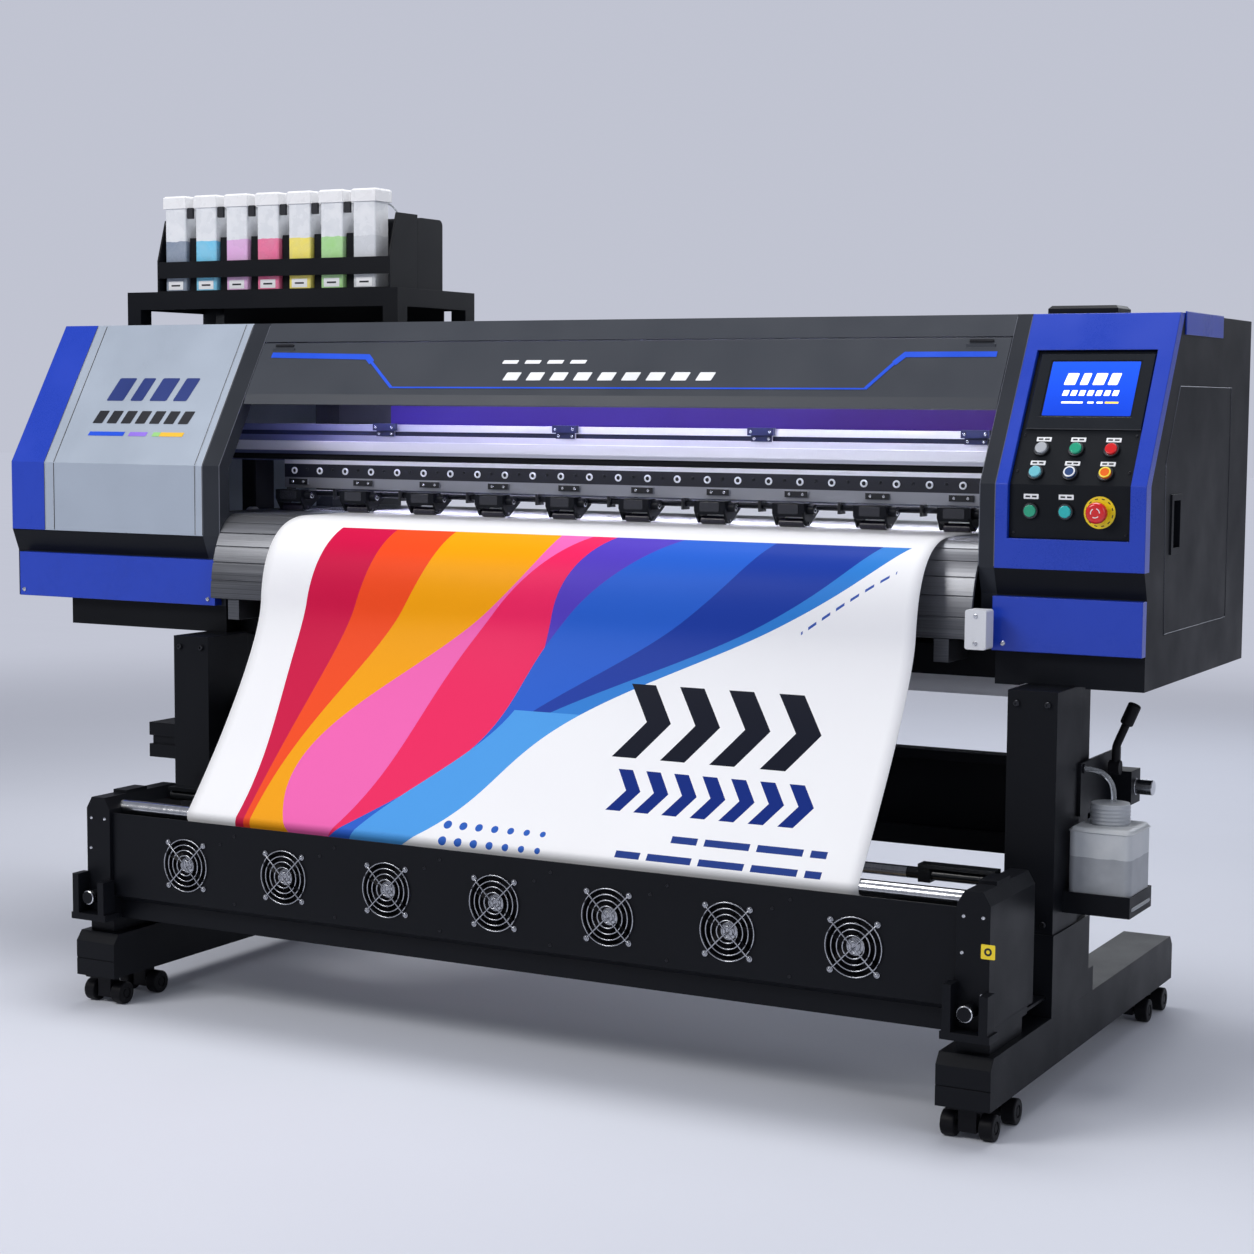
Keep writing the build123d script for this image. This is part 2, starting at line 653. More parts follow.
def push_button(x, z):
    plane = on_panel(x, z)
    cap = Pos(0, 0, 7) * Cylinder(BUTTON_CAP_R, 6)
    cap = fillet(cap.edges().sort_by(Axis.Z)[-1], 1.5)
    stem = Pos(0, 0, -4) * Cylinder(BUTTON_STEM_R, 17)
    return plane * (cap + stem)


def estop_plate():
    plane = on_panel(ESTOP_X, ESTOP_Z)
    hole = lies(plane, ESTOP_STEM_R + FIT, -1, 9)
    return lies(plane, 30, 0, 2) + lies(plane, 14, 2, 7) - hole


def estop_button():
    """Mushroom head on its stem."""
    plane = on_panel(ESTOP_X, ESTOP_Z)
    head = Pos(0, 0, 22) * Cylinder(20, 16)
    head = fillet(head.edges().sort_by(Axis.Z)[-1], 7)
    head = chamfer(head.edges().sort_by(Axis.Z)[0], 2)
    stem = Pos(0, 0, 2) * Cylinder(ESTOP_STEM_R, 26)
    return plane * (head + stem)


# ---------------------------------------------------------------- top cover and lid
def top_cover():
    """Top, back and rear lining of the bay."""
    slot_z = 1090.0
    hinge_gap = 3.0
    z = LID_TOP + hinge_gap
    outer = [(face_y(z), z), (TOP_EDGE_Y, HEAD_TOP), (HEAD_BACK, HEAD_TOP), (HEAD_BACK, slot_z)]
    cover = bent_sheet(outer, SHEET, LEFT_WALL_IN, RIGHT_WALL_IN)
    lining = block(LEFT_WALL_IN, RIGHT_WALL_IN, LINING_Y, LINING_Y + SHEET, PLATEN_TOP + 27,
                   HEAD_TOP - SHEET)
    return cover + lining


def front_cover():
    """Lifting lid over the print bay, with a folded lower lip."""
    z = LID_TOP
    outer = [(FACE_Y + (BAY_TOP - KINK_Z) * SLOPE + 46, BAY_TOP), (face_y(BAY_TOP) + 4, BAY_TOP),
             (face_y(LID_LIP), LID_LIP), (face_y(z), z)]
    lid = bent_sheet(outer, 3.0, LEFT_WALL_IN + GAP, RIGHT_WALL_IN - GAP)
    for x in HINGE_X:
        lid += block(x - 30, x + 30, face_y(z - 22) + 2, face_y(z - 22) + 16, z - 34, z - 12)
    return lid


# ---------------------------------------------------------------- carriage beam and drive
def guide_beam():
    """Extruded beam with belt groove, steel rail, pinch mounting strip and shaft hangers."""
    beam = block(BEAM_LEFT, BEAM_RIGHT, BEAM_FRONT, BEAM_BACK, BEAM_BOTTOM, BEAM_TOP)
    groove_z0, groove_z1 = BELT_Z - 7, BELT_Z + 7
    beam -= block(BEAM_LEFT - 1, BEAM_RIGHT + 1, BEAM_FRONT - 1, 150, groove_z0, groove_z1)
    beam -= block(BEAM_LEFT - 1, BEAM_RIGHT + 1, BEAM_FRONT - 1, BEAM_FRONT + 4, 1210, 1220)
    beam -= rod_z(5.0, BEAM_BOTTOM - 1, groove_z0 + 1, BELT_RIGHT, BELT_Y)
    strip_x0 = LEFT_WALL_IN + 4
    strip_x1 = RIGHT_WALL_IN - 4
    strip = block(strip_x0, strip_x1, BEAM_FRONT - 6, BEAM_FRONT, STRIP_BOTTOM,
                  BEAM_BOTTOM + 2)
    strip += block(strip_x0, strip_x1, BEAM_FRONT, BEAM_FRONT + 6, 1130, BEAM_BOTTOM)
    strip = beam + strip
    hanger_x = [x + PINCH_PITCH / 2 for x in pinch_x()] + [pinch_x()[-1] - 41]
    hanger_x[0] = pinch_x()[0] + 85
    for x in hanger_x:
        plate = block(x - 3, x + 3, PIVOT_Y - 14, PIVOT_Y + 14, PIVOT_Z - 13, BEAM_BOTTOM)
        strip += plate - rod_x(PIVOT_R + FIT, x - 4, x + 4, PIVOT_Y, PIVOT_Z)
    rail = block(BEAM_LEFT + 20, BEAM_RIGHT - 10, BEAM_FRONT - RAIL_DEPTH, BEAM_FRONT,
                 RAIL_Z - RAIL_HEIGHT / 2, RAIL_Z + RAIL_HEIGHT / 2)
    pieces = [strip, rail]
    for x in pinch_x():
        pieces.append(block(x - 26, x + 26, BEAM_FRONT - 11, BEAM_FRONT - 6, STRIP_BOTTOM + 8,
                            STRIP_BOTTOM + 21))
    for i in range(BRACKET_COUNT):
        x = BRACKET_LAST_X - BRACKET_PITCH * i
        bracket = block(x - 30, x + 30, BEAM_FRONT - 12, BEAM_FRONT, 1222, 1238)
        bracket += block(x - 24, x + 24, BEAM_FRONT - 6, BEAM_FRONT, 1209, 1222)
        pieces.append(bracket)
    return group(pieces)


def carriage_drive():
    """Toothed belt, its two pulleys and the carriage motor."""
    middle = (BELT_LEFT + BELT_RIGHT) / 2
    span = BELT_RIGHT - BELT_LEFT
    loop = SlotCenterToCenter(span, 2 * (PULLEY_R + BELT_THICK)) - SlotCenterToCenter(span, 2 * PULLEY_R)
    belt = Pos(middle, BELT_Y, BELT_Z - BELT_WIDTH / 2) * extrude(loop, amount=BELT_WIDTH)
    left = rod_z(PULLEY_R - 0.05, BELT_Z - 6, BELT_Z + 6, BELT_LEFT, BELT_Y)
    right = rod_z(PULLEY_R - 0.05, BELT_Z - 6, BELT_Z + 6, BELT_RIGHT, BELT_Y)
    right += rod_z(4.0, BEAM_BOTTOM - 10, BELT_Z, BELT_RIGHT, BELT_Y)
    motor = block(BELT_RIGHT - 28, BELT_RIGHT + 28, BELT_Y - 28, BELT_Y + 28, 1085, BEAM_BOTTOM)
    return group([belt, left, motor + right])


def carriage():
    """Print carriage with heads below and a cutter tool at its left side."""
    x0 = CARRIAGE_X - CARRIAGE_WIDTH / 2
    x1 = CARRIAGE_X + CARRIAGE_WIDTH / 2
    bottom = PLATEN_TOP + 13
    cover = [(CARRIAGE_FRONT, bottom), (CARRIAGE_FRONT, KINK_Z - 16), (-10, CARRIAGE_TOP),
             (CARRIAGE_BACK, CARRIAGE_TOP), (CARRIAGE_BACK, bottom)]
    body = prism(cover, x0, x1)
    body -= block(x0 + 5, x1 - 5, CARRIAGE_FRONT + 18, CARRIAGE_BACK - 10, bottom - 1, bottom + 45)
    for i in range(4):
        x = x0 + 40 + i * (CARRIAGE_WIDTH - 80) / 3
        body += block(x - 22, x + 22, CARRIAGE_FRONT + 28, CARRIAGE_BACK - 16,
                      PLATEN_TOP + HEAD_CLEARANCE, bottom + 45)
    slide_z0, slide_z1 = RAIL_Z - 17, RAIL_Z + 18
    slider = block(CARRIAGE_X - 70, CARRIAGE_X + 70, CARRIAGE_BACK, BEAM_FRONT - 2,
                   slide_z0, slide_z1)
    slider -= block(x0, x1, BEAM_FRONT - RAIL_DEPTH - 0.5, BEAM_FRONT,
                    RAIL_Z - RAIL_HEIGHT / 2 - 0.5, RAIL_Z + RAIL_HEIGHT / 2 + 0.5)
    clamp = block(CARRIAGE_X - 20, CARRIAGE_X + 20, 90, BELT_Y - PULLEY_R - BELT_THICK - 1,
                  BELT_Z - 5, slide_z0)
    clamp -= block(x0, x1, BEAM_FRONT - 2, BEAM_FRONT + 8, BELT_Z + 5.5, slide_z0 + 1)
    tool_x = x0 - 14
    tool = block(x0 - 28, x0, TOOL_Y - 16, TOOL_Y + 16, 1070, 1120)
    tool += rod_z(TOOL_R, PLATEN_TOP + 12, 1150, tool_x, TOOL_Y)
    tool += rod_z(3.0, PLATEN_TOP + HEAD_CLEARANCE, PLATEN_TOP + 12, tool_x, TOOL_Y)
    return body + slider + clamp + tool


# ---------------------------------------------------------------- pinch and grit rollers
def pinch_arms():
    """Row of sprung arms on one lifting shaft."""
    half = PINCH_LENGTH / 2
    arms = rod_x(PIVOT_R, LEFT_WALL_IN + 6, RIGHT_WALL_IN - 6, PIVOT_Y, PIVOT_Z)
    top = PIVOT_Z + 9
    shoulder = PIVOT_Z + 6    # lower behind, to clear the mounting strip when lifted
    link = [(ROLLER_Y - 6, PINCH_AXIS_Z - 6), (ROLLER_Y + 6, PINCH_AXIS_Z - 6),
            (PIVOT_Y + 9, PIVOT_Z - 9), (PIVOT_Y + 9, shoulder), (ROLLER_Y + 9, shoulder),
            (ROLLER_Y + 6, top), (ROLLER_Y - 24, top), (ROLLER_Y - 24, PIVOT_Z - 12)]
    for x in pinch_x():
        for end in (-1, 1):
            inner = x + end * (half + 3)
            outer = x + end * (half + 8)
            cheek = prism(link, min(inner, outer), max(inner, outer))
            cheek -= rod_x(3.0 + FIT, x - 60, x + 60, ROLLER_Y, PINCH_AXIS_Z)
            arms += cheek
        arms += block(x - half - 3, x + half + 3, ROLLER_Y - 24, ROLLER_Y + 6,
                      PINCH_AXIS_Z + PINCH_R + 4, top)
        arms += rod_x(10.0, x + half + 8, x + half + 24, ROLLER_Y - 4, PIVOT_Z - 4)
    return arms


def pinch_rollers():
    half = PINCH_LENGTH / 2
    rollers = []
    for x in pinch_x():
        roller = rod_x(PINCH_R, x - half, x + half, ROLLER_Y, PINCH_AXIS_Z)
        roller = fillet(roller.edges().filter_by(GeomType.CIRCLE), 1.5)
        rollers.append(roller + rod_x(3.0, x - half - 10, x + half + 10, ROLLER_Y, PINCH_AXIS_Z))
    return group(rollers)


def grit_roller():
    """Driven shaft under the platen with a rough band below each pinch roller."""
    left = LEFT_WALL_OUT - 59
    shaft = rod_x(GRIT_SHAFT_R, left + 40, RIGHT_WALL_OUT - 6, ROLLER_Y, GRIT_AXIS_Z)
    for x in pinch_x():
        shaft += rod_x(GRIT_R, x - 35, x + 35, ROLLER_Y, GRIT_AXIS_Z)
    pulley = rod_x(20.0, left + 25, left + 40, ROLLER_Y, GRIT_AXIS_Z)
    pulley += rod_x(GRIT_SHAFT_R, left, left + 25, ROLLER_Y, GRIT_AXIS_Z)
    return group([shaft, pulley])


# ---------------------------------------------------------------- media table
def arc_points(cy, cz, ry, rz, start, end, steps):
    """Points on an ellipse between two angles in degrees."""
    points = []
    for i in range(steps + 1):
        angle = math.radians(start + (end - start) * i / steps)
        points.append((cy + ry * math.cos(angle), cz + rz * math.sin(angle)))
    return points


def platen():
    low = PLATEN_TOP - PLATEN_THICK
    bend = arc_points(PLATEN_REAR, PLATEN_TOP - REAR_BEND, REAR_BEND, REAR_BEND, 90, 0, 8)
    inner = arc_points(PLATEN_REAR, PLATEN_TOP - REAR_BEND, REAR_BEND - 6, REAR_BEND - 6, 0, 90, 8)
    outline = [(PLATEN_FRONT, PLATEN_TOP)] + bend + inner
    outline += [(PLATEN_REAR - 20, PLATEN_TOP - 6), (PLATEN_REAR - 20, low), (PLATEN_FRONT, low)]
    table = prism(outline, LEFT_WALL_IN, RIGHT_WALL_IN)
    slot = GRIT_R + 3
    table -= block(LEFT_WALL_IN + 8, RIGHT_WALL_IN - 8, ROLLER_Y - slot, ROLLER_Y + slot,
                   low - 1, PLATEN_TOP + 1)
    for x0, x1 in ((LEFT_WALL_IN - 1, LEFT_WALL_IN + 9), (RIGHT_WALL_IN - 9, RIGHT_WALL_IN + 1)):
        table -= rod_x(GRIT_SHAFT_R + FIT, x0, x1, ROLLER_Y, GRIT_AXIS_Z)
    for x in range(-640, 1000, 80):
        for y in (-30, 20):
            table -= rod_z(2.5, PLATEN_TOP - 6, PLATEN_TOP + 1, x, y)
    return table


def front_heater():
    """Curved drying plate made of horizontal slats on one backing sheet."""
    depth = PLATEN_TOP - HEATER_BOTTOM
    groove = 0.5
    outline = []
    step = 90.0 / HEATER_SLATS
    for i in range(HEATER_SLATS):
        a0 = 90 + i * step + groove
        a1 = 90 + (i + 1) * step - groove
        outline += arc_points(PLATEN_FRONT, HEATER_BOTTOM, HEATER_REACH, depth, a0, a1, 4)
        if i < HEATER_SLATS - 1:
            outline += arc_points(PLATEN_FRONT, HEATER_BOTTOM, HEATER_REACH - 3, depth - 3,
                                  a1, a1 + 2 * groove, 1)
    inner = arc_points(PLATEN_FRONT, HEATER_BOTTOM, HEATER_REACH - 8, depth - 8, 180, 90, 16)
    plate = prism(outline + inner, LEFT_WALL_IN, RIGHT_WALL_IN)
    for x in (LEFT_WALL_IN + 60, STAND_X, RIGHT_WALL_IN - 60):
        plate += block(x - 15, x + 15, PLATEN_FRONT - HEATER_REACH + 5, BASE_FRONT,
                       HEATER_BOTTOM - 45, HEATER_BOTTOM)
    return plate


def capping_station():
    """Parking caps and wiper under the resting carriage."""
    x0 = CARRIAGE_X - CARRIAGE_WIDTH / 2
    x1 = CARRIAGE_X + CARRIAGE_WIDTH / 2
    base = block(x0 + 10, x1 - 5, -66, 40, BASE_TOP, 1000)
    base -= block(x0 + 16, x1 - 11, -60, 34, BASE_TOP - 1, 990)
    for i in range(4):
        x = x0 + 40 + i * (CARRIAGE_WIDTH - 80) / 3
        base += block(x - 20, x + 20, -46, 30, 1000, PLATEN_TOP + HEAD_CLEARANCE - 1)
    return base


def media_sensor():
    box = block(RIGHT_WALL_IN, RIGHT_WALL_IN + 42, -202, -162, 831, 906)
    box = fillet(box.edges().filter_by(Axis.Y), 5)
    arm = block(RIGHT_WALL_IN + 3, RIGHT_WALL_OUT - 1, -162, CHIN_Y, 850, 890)
    return box + arm


# ---------------------------------------------------------------- media
def bezier(p0, p1, p2, p3, steps):
    """Cubic curve sampled after its first point."""
    points = []
    for i in range(1, steps + 1):
        t = i / steps
        s = 1 - t
        points.append(tuple(s ** 3 * a + 3 * s * s * t * b + 3 * s * t * t * c + t ** 3 * d
                            for a, b, c, d in zip(p0, p1, p2, p3)))
    return points


def media_path():
    """Middle line of the sheet from its rear tail to the take-up roll."""
    lift = FIT + MEDIA_THICK / 2
    top = PLATEN_TOP + lift
    rear_r = REAR_BEND + lift
    path = [(PLATEN_REAR + rear_r, TAIL_Z)]
    path += arc_points(PLATEN_REAR, PLATEN_TOP - REAR_BEND, rear_r, rear_r, 0, 90, 10)
    crest = (PLATEN_FRONT, top)
    loop = (LOOP_Y, LOOP_Z)
    path += [crest]
    path += bezier(crest, (PLATEN_FRONT - 90, top), (LOOP_Y + 8, LOOP_Z + 135), loop, 16)
    bar_r = BAR_R + lift
    roll_r = TAKEUP_R + lift
    arrive_deg = 141.5        # where the sheet first meets the tension bar
    arrive = math.radians(arrive_deg)
    touch = (BAR_Y + bar_r * math.cos(arrive), BAR_Z + bar_r * math.sin(arrive))
    path += bezier(loop, (LOOP_Y - 13, LOOP_Z - 110), (touch[0] + 50, touch[1] + 62), touch, 16)
    length = math.hypot(TAKEUP_Y - BAR_Y, TAKEUP_Z - BAR_Z)
    across = math.degrees(math.atan2(TAKEUP_Z - BAR_Z, TAKEUP_Y - BAR_Y)) - 90
    leave = across % 360 - math.degrees(math.asin((roll_r - bar_r) / length))
    path += arc_points(BAR_Y, BAR_Z, bar_r, bar_r, arrive_deg, leave, 8)[1:]
    end = math.radians(leave)
    path += [(TAKEUP_Y + roll_r * math.cos(end), TAKEUP_Z + roll_r * math.sin(end))]
    return path


def media():
    path = media_path()
    total = sum(math.hypot(b[0] - a[0], b[1] - a[1]) for a, b in zip(path, path[1:]))
    print("media length", round(total, 1))
    half = MEDIA_THICK / 2
    outline = offset_line(path, -half) + offset_line(path, half)[::-1]
    return prism(outline, MEDIA_LEFT, MEDIA_LEFT + MEDIA_WIDTH)


# ---------------------------------------------------------------- dryer and take-up
def dryer_box():
    """Open trough with the fan panel as its front."""
    wall = 3.0
    step_z = 236.0
    step_y = DRYER_FRONT + 26
    outline = [(DRYER_FRONT, DRYER_TOP), (DRYER_FRONT, step_z), (step_y, step_z - 14),
               (step_y, DRYER_BOTTOM), (DRYER_BACK, DRYER_BOTTOM), (DRYER_BACK, DRYER_BOTTOM + 60)]
    inner = offset_line(outline, -wall)
    left = STAND_X - HOUSING_OFFSET
    right = STAND_X + HOUSING_OFFSET
    box = prism(outline + inner[::-1], left, right)
    for x in fan_x():
        box -= rod_y(FAN_R, DRYER_FRONT - 1, DRYER_FRONT + wall + 1, x, FAN_Z)
    return box


def fan_guards():
    """Wire rings with four arms, one in front of each fan."""
    guards = []
    y0 = DRYER_FRONT - WIRE
    for x in fan_x():
        guard = None
        for i in range(GUARD_RINGS):
            radius = GUARD_R - i * (GUARD_R - GUARD_INNER_R) / (GUARD_RINGS - 1)
            ring = rod_y(radius, y0, DRYER_FRONT, x, FAN_Z) - rod_y(radius - WIRE, y0 - 1, 0, x, FAN_Z)
            guard = ring if guard is None else guard + ring
        for angle in (45, 135):
            arm = Pos(x, y0 + WIRE / 2, FAN_Z) * (Rot(0, angle, 0) * Box(2 * GUARD_ARM, WIRE, WIRE))
            guard += arm
            for end in (-1, 1):
                dx = end * GUARD_ARM * math.cos(math.radians(angle))
                dz = end * GUARD_ARM * math.sin(math.radians(angle))
                guard += rod_y(5.0, y0 - 1, DRYER_FRONT, x + dx, FAN_Z + dz)
        guards.append(guard)
    return group(guards)


def fans():
    """Fan frames and their rotors behind the panel."""
    front = DRYER_FRONT + 3
    depth = 24.0
    parts = []
    for x in fan_x():
        frame = block(x - 56, x + 56, front, front + depth, FAN_Z - 56, FAN_Z + 56)
        frame -= rod_y(FAN_R, front - 1, front + depth - 3, x, FAN_Z)
        rotor = rod_y(19, front + 2, front + depth - 3, x, FAN_Z)
        for i in range(7):
            blade = Pos(33, 0, 0) * (Rot(35, 0, 0) * Box(32, 2, 22))
            turned = Rot(0, i * 360 / 7, 0) * blade
            rotor += Pos(x, front + depth / 2, FAN_Z) * turned
        parts += [frame, rotor]
    return group(parts)


def takeup_housings():
    housings = []
    for side in (-1, 1):
        x0, x1 = housing_span(side)
        cut = 14.0
        drop = 24.0
        outline = [(x0, HOUSING_BOTTOM), (x1, HOUSING_BOTTOM), (x1, HOUSING_TOP - drop),
                   (x1 - cut, HOUSING_TOP), (x0 + cut, HOUSING_TOP), (x0, HOUSING_TOP - drop)]
        case = front_prism(outline, HOUSING_FRONT, HOUSING_BACK)
        middle = (x0 + x1) / 2
        inner = x0 if side > 0 else x1
        case -= rod_x(BAR_R + FIT, inner - 12, inner + 12, BAR_Y, BAR_Z)
        case -= rod_x(JOURNAL_R + FIT, inner - 12, inner + 12, TAKEUP_Y, TAKEUP_Z)
        case += block(middle - 17, middle + 17, -470, -400, HOUSING_TOP, HOUSING_TOP + 7)
        housings.append(case)
    return group(housings)


def takeup_saddles():
    """Brackets that hold the housings on the feet, with clamp knobs in front."""
    saddles = []
    for side in (-1, 1):
        x0, x1 = housing_span(side)
        middle = (x0 + x1) / 2
        front = HOUSING_FRONT - 36
        saddle = block(middle - 46, middle + 46, front, DRYER_FRONT - 1, 186, HOUSING_BOTTOM)
        saddle += block(x0, x1, DRYER_FRONT - 1, HOUSING_BACK - 30, 186, HOUSING_BOTTOM)
        saddle += block(x0, x1, -530, -360, FOOT_TOP, 186)
        for end, height in ((-1, 84), (1, 70)):
            ear = middle + end * 34
            saddle += block(ear - 8, ear + 8, front, HOUSING_FRONT, HOUSING_BOTTOM,
                            HOUSING_BOTTOM + height)
        saddle += rod_y(13, front - 2, HOUSING_FRONT, middle, KNOB_Z)
        socket_front = COLUMN_FRONT - 3
        saddle += block(x0, x1, HOUSING_BACK - 30, socket_front, 190, 196)
        saddle += block(x0, x0 + 4, HOUSING_BACK - 30, socket_front, FOOT_TOP, 190)
        saddles.append(saddle)
    return group(saddles)


def tension_bar():
    x0 = STAND_X - HOUSING_OFFSET - 10
    x1 = STAND_X + HOUSING_OFFSET + 10
    bar = rod_x(BAR_R, x0, x1, BAR_Y, BAR_Z)
    return chamfer(bar.edges().filter_by(GeomType.CIRCLE), 1.5)


def takeup_shaft():
    """Core tube with the first turns of wound sheet, on two journals."""
    x0 = STAND_X - HOUSING_OFFSET
    x1 = STAND_X + HOUSING_OFFSET
    core = rod_x(CORE_R, x0 + 3, x1 - 3, TAKEUP_Y, TAKEUP_Z)
    wound = rod_x(TAKEUP_R, MEDIA_LEFT, MEDIA_LEFT + MEDIA_WIDTH, TAKEUP_Y, TAKEUP_Z)
    return core + wound + rod_x(JOURNAL_R, x0 - 10, x1 + 10, TAKEUP_Y, TAKEUP_Z)


def guide_bar():
    """Fixed second roller behind the trough on two arms from the housings."""
    x0 = STAND_X - HOUSING_OFFSET
    x1 = STAND_X + HOUSING_OFFSET
    bar = rod_x(GUIDE_R, x0, x1, GUIDE_Y, GUIDE_Z)
    for side in (-1, 1):
        inner = STAND_X + side * HOUSING_OFFSET
        end = inner - side * 150
        bar += block(min(inner, end), max(inner, end), GUIDE_Y - 16, GUIDE_Y + 16,
                     GUIDE_Z + 12, GUIDE_Z + 20)
        low, high = sorted((end, end + side * 24))
        bar += block(low, high, GUIDE_Y - 14, GUIDE_Y + 14, GUIDE_Z - 14, GUIDE_Z + 14)
    return bar


# ---------------------------------------------------------------- feed side
def shaft_brackets():
    """Bearing brackets for the supply shaft, one behind each column."""
    brackets = []
    for side in (-1, 1):
        face = foot_x(side) + side * (COLUMN_WIDTH / 2)
        near, far = sorted((face, face + side * BRACKET_PLATE))
        deep = face + side * 46
        front = HOSE_Y - 15 if side > 0 else COLUMN_STEP + 40
        arm = block(near, far, front, FEED_Y + 30, 515, HOSE_START_Z + 12)
        bearing = block(min(face, deep), max(face, deep), FEED_Y - 30, FEED_Y + 30, 512, 578)
        bracket = arm + bearing
        bracket -= rod_x(FEED_R + FIT, face - 60, face + 60, FEED_Y, FEED_Z)
        if side > 0:
            bracket += rod_x(9.0, far, HOSE_START_X, HOSE_Y, HOSE_START_Z)
        brackets.append(bracket)
    return group(brackets)


def feed_shaft():
    """Supply shaft with a stepped end and two core flanges."""
    step_x = FEED_RIGHT - FEED_END
    shaft = rod_x(FEED_R, FEED_LEFT, step_x, FEED_Y, FEED_Z)
    shaft += rod_x(FEED_END_R, step_x, FEED_RIGHT, FEED_Y, FEED_Z)
    ends = shaft.edges().filter_by(GeomType.CIRCLE).sort_by(Axis.X)
    shaft = chamfer([ends[0], ends[-1]], 1.5)
    for x in CORE_X:
        shaft += rod_x(37, x - 20, x + 20, FEED_Y, FEED_Z)
        shaft += rod_x(48, x - 24, x - 18, FEED_Y, FEED_Z)
    return shaft


def clamp_lever():
    """Bent lever with a rubber grip that locks the supply shaft."""
    boss = rod_x(14, LEVER_X + 0.5, LEVER_X + 22, LEVER_Y, LEVER_Z)
    path = FilletPolyline((LEVER_X + 12, LEVER_Y, LEVER_Z), (LEVER_X + 12, LEVER_Y, LEVER_Z + 40),
                          (LEVER_X + 34, LEVER_Y, LEVER_Z + 92), radius=40)
    tube = sweep(Plane(origin=path @ 0, z_dir=path % 0) * Circle(LEVER_TUBE_R), path=path)
    grip_line = Plane(origin=path @ 1, z_dir=path % 1)
    grip = grip_line * (Pos(0, 0, 14) * Cylinder(13, 44))
    grip = fillet(grip.edges().filter_by(GeomType.CIRCLE), 4)
    return boss + tube + grip


def feed_motor():
    """Drive block outside the left column, in three bands."""
    face = foot_x(-1) - COLUMN_WIDTH / 2
    left = face - 140
    inset = 6.0
    body = block(left + inset, face, MOTOR_FRONT + inset, MOTOR_BACK - inset,
                 MOTOR_LOW + 2, MOTOR_HIGH - 2)
    for z0, z1 in ((MOTOR_LOW, MOTOR_LOW + 30), (MOTOR_HIGH - 30, MOTOR_HIGH)):
        body += block(left, face, MOTOR_FRONT, MOTOR_BACK, z0, z1)
    return body


# ---------------------------------------------------------------- waste ink
def waste_bottle():
    half_w = BOTTLE_WIDTH / 2
    half_d = BOTTLE_DEPTH / 2
    body = block(BOTTLE_X - half_w, BOTTLE_X + half_w, BOTTLE_Y - half_d, BOTTLE_Y + half_d,
                 BOTTLE_BOTTOM, BOTTLE_TOP)
    body = fillet(body.edges().filter_by(Axis.Z), 14)
    body = fillet(body.faces().sort_by(Axis.Z)[-1].edges(), 10)
    neck = rod_z(36, BOTTLE_TOP, NECK_TOP, BOTTLE_X, BOTTLE_Y)
    return body + neck


def waste_tray():
    half_w = BOTTLE_WIDTH / 2 + 2
    half_d = BOTTLE_DEPTH / 2 + 5
    left = foot_x(1) + COLUMN_WIDTH / 2
    right = BOTTLE_X + half_w
    tray = block(left, right, BOTTLE_Y - half_d, BOTTLE_Y + half_d, BOTTLE_BOTTOM - 5, 385)
    inner = BOTTLE_WIDTH / 2 + 0.3
    return tray - block(BOTTLE_X - inner, BOTTLE_X + inner, BOTTLE_Y - half_d + 4,
                        BOTTLE_Y + half_d - 4, BOTTLE_BOTTOM, 386)


def waste_hose():
    """Clear tube from the bracket's connector into the bottle's neck."""
    x, z = HOSE_START_X, HOSE_START_Z
    points = [(x, HOSE_Y, z)]
    for i in range(4):
        angle = math.radians(HOSE_TURN * i)
        x += HOSE_RUN * math.cos(angle)
        z -= HOSE_RUN * math.sin(angle)
        points.append((x, HOSE_Y, z))
    radius = 0.45 * HOSE_RUN / math.tan(math.radians(HOSE_TURN / 2))
    path = FilletPolyline(*points, radius=radius)
    tube = sweep(Plane(origin=path @ 0, z_dir=path % 0) * Circle(HOSE_R), path=path)
    print("hose radius", round(radius, 1), "length", round(path.length, 1),
          "volume ratio", round(tube.volume / (math.pi * HOSE_R ** 2 * path.length), 4))
    return tube


# ---------------------------------------------------------------- ink supply
def ink_shelf():
    """Table frame on the head for the ink rack."""
    apron = 42.0
    top = block(SHELF_LEFT, SHELF_RIGHT, SHELF_FRONT, SHELF_BACK, SHELF_TOP - apron, SHELF_TOP)
    top -= block(SHELF_LEFT + 4, SHELF_RIGHT - 4, SHELF_FRONT + 4, SHELF_BACK - 4,
                 SHELF_TOP - apron - 1, SHELF_TOP - 4)
    for x in (SHELF_LEFT, SHELF_RIGHT - SHELF_LEG):
        for y in (SHELF_FRONT, SHELF_BACK - SHELF_LEG):
            top += block(x, x + SHELF_LEG, y, y + SHELF_LEG, HEAD_TOP, SHELF_TOP - 4)
    top += block(SHELF_LEFT + 70, SHELF_RIGHT - 60, SHELF_BACK - 44, SHELF_BACK - 40, HEAD_TOP,
                 SHELF_TOP - 4)
    return top


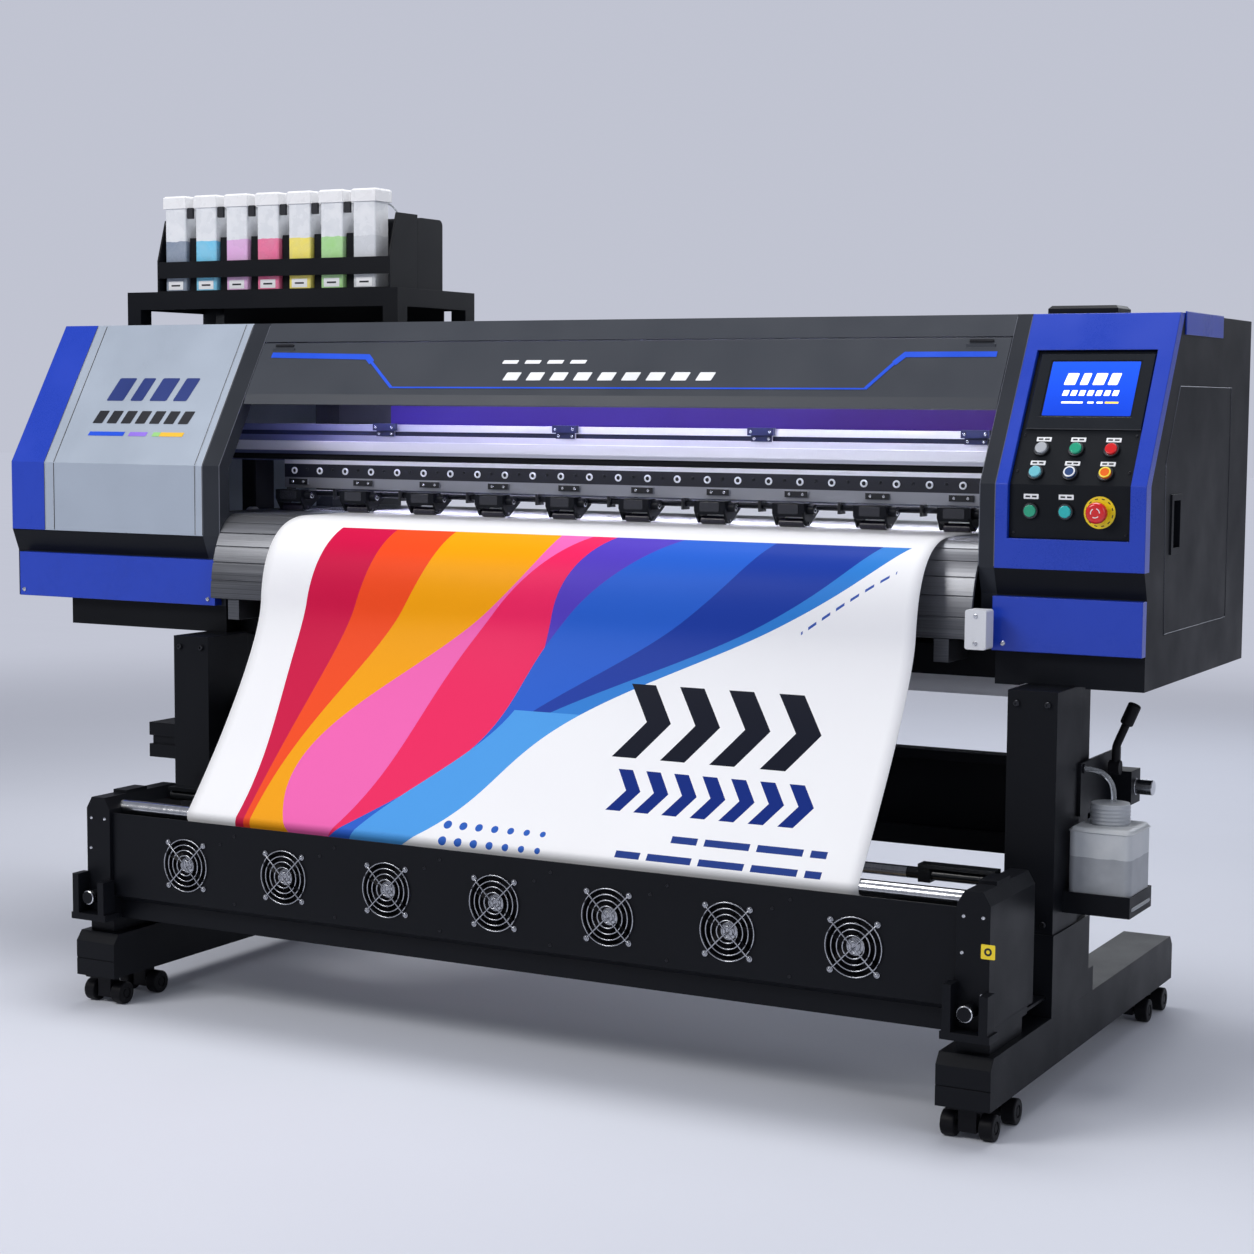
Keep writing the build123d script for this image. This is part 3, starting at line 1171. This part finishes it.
def ink_rack():
    """Open cradle: tray, front rail, side cheeks and dividers between the tanks."""
    wall = 5.0
    cheek = [(RACK_FRONT, SHELF_TOP), (RACK_FRONT, RACK_WAIST), (RACK_FRONT + 30, RACK_TOP),
             (RACK_BACK, RACK_TOP), (RACK_BACK, SHELF_TOP)]
    rack = block(RACK_LEFT, RACK_RIGHT, RACK_FRONT, RACK_BACK, SHELF_TOP, SHELF_TOP + 3)
    rack += block(RACK_LEFT, RACK_RIGHT, RACK_FRONT, RACK_FRONT + wall, SHELF_TOP + 33,
                  RACK_WAIST - 3)
    rack += block(RACK_LEFT, RACK_RIGHT, RACK_BACK - wall, RACK_BACK, SHELF_TOP, RACK_TOP - 40)
    rack += prism(cheek, RACK_LEFT, RACK_LEFT + wall)
    rack += prism(cheek, RACK_RIGHT - wall, RACK_RIGHT)
    for i in range(TANK_COUNT - 1):
        x0 = TANK_FIRST_X + TANK_PITCH * i + TANK_WIDTH + 4
        x1 = TANK_FIRST_X + TANK_PITCH * (i + 1) - 4
        rack += block(x0, x1, RACK_FRONT + 26, RACK_BACK - wall, SHELF_TOP + 3, RACK_TOP - 44)
    return group([rack, pump_housing()])


def ink_tanks():
    tanks = []
    for i in range(TANK_COUNT):
        x0 = TANK_FIRST_X + TANK_PITCH * i
        x1 = x0 + TANK_WIDTH
        y0 = RACK_FRONT + 14
        y1 = y0 + TANK_DEPTH
        body = block(x0, x1, y0, y1, SHELF_TOP + 3, TANK_TOP - 30)
        body = fillet(body.edges().filter_by(Axis.Z), 5)
        cap = block(x0 - 3, x1 + 3, y0 - 3, y1 + 8, TANK_TOP - 30, TANK_TOP)
        cap = chamfer(cap.faces().sort_by(Axis.Z)[-1].edges(), 4)
        tanks.append(body + cap)
    return group(tanks)


def pump_housing():
    """Ink pump and filter housing behind the rack."""
    box = block(RACK_LEFT, RACK_RIGHT, RACK_BACK + 1, PUMP_BACK, SHELF_TOP, RACK_TOP - 6)
    return fillet(box.faces().sort_by(Axis.Z)[-1].edges().filter_by(Axis.X), 14)


PARTS = {
    "stand_feet": stand_feet,
    "stand_columns": stand_columns,
    "caster_forks": caster_forks,
    "rear_beam": rear_beam,
    "head_chassis": head_chassis,
    "bay_bulkheads": bay_bulkheads,
    "left_end_cover": left_end_cover,
    "left_trim": left_trim,
    "left_side_panel": left_side_panel,
    "right_cabinet": right_cabinet,
    "side_door": side_door,
    "right_trim": right_trim,
    "control_panel": control_panel,
    "touch_screen": touch_screen,
    "button_bezels": button_bezels,
    "estop_plate": estop_plate,
    "estop_button": estop_button,
    "top_cover": top_cover,
    "front_cover": front_cover,
    "guide_beam": guide_beam,
    "carriage_drive": carriage_drive,
    "carriage": carriage,
    "pinch_arms": pinch_arms,
    "pinch_rollers": pinch_rollers,
    "grit_roller": grit_roller,
    "platen": platen,
    "front_heater": front_heater,
    "capping_station": capping_station,
    "media_sensor": media_sensor,
    "media": media,
    "dryer_box": dryer_box,
    "fan_guards": fan_guards,
    "fans": fans,
    "takeup_housings": takeup_housings,
    "takeup_saddles": takeup_saddles,
    "tension_bar": tension_bar,
    "takeup_shaft": takeup_shaft,
    "guide_bar": guide_bar,
    "shaft_brackets": shaft_brackets,
    "feed_shaft": feed_shaft,
    "clamp_lever": clamp_lever,
    "feed_motor": feed_motor,
    "waste_bottle": waste_bottle,
    "waste_tray": waste_tray,
    "waste_hose": waste_hose,
    "ink_shelf": ink_shelf,
    "ink_rack": ink_rack,
    "ink_tanks": ink_tanks,
}

os.makedirs("parts", exist_ok=True)
for name, make in PARTS.items():
    export_step(make(), f"parts/{name}.step")
for number, (button_x, button_z) in enumerate(BUTTON_ROWS, start=1):
    export_step(push_button(button_x, button_z), f"parts/button_{number}.step")
for number, axle_y in enumerate(CASTER_Y, start=1):
    export_step(caster_wheels(axle_y), f"parts/caster_wheels_{number}.step")
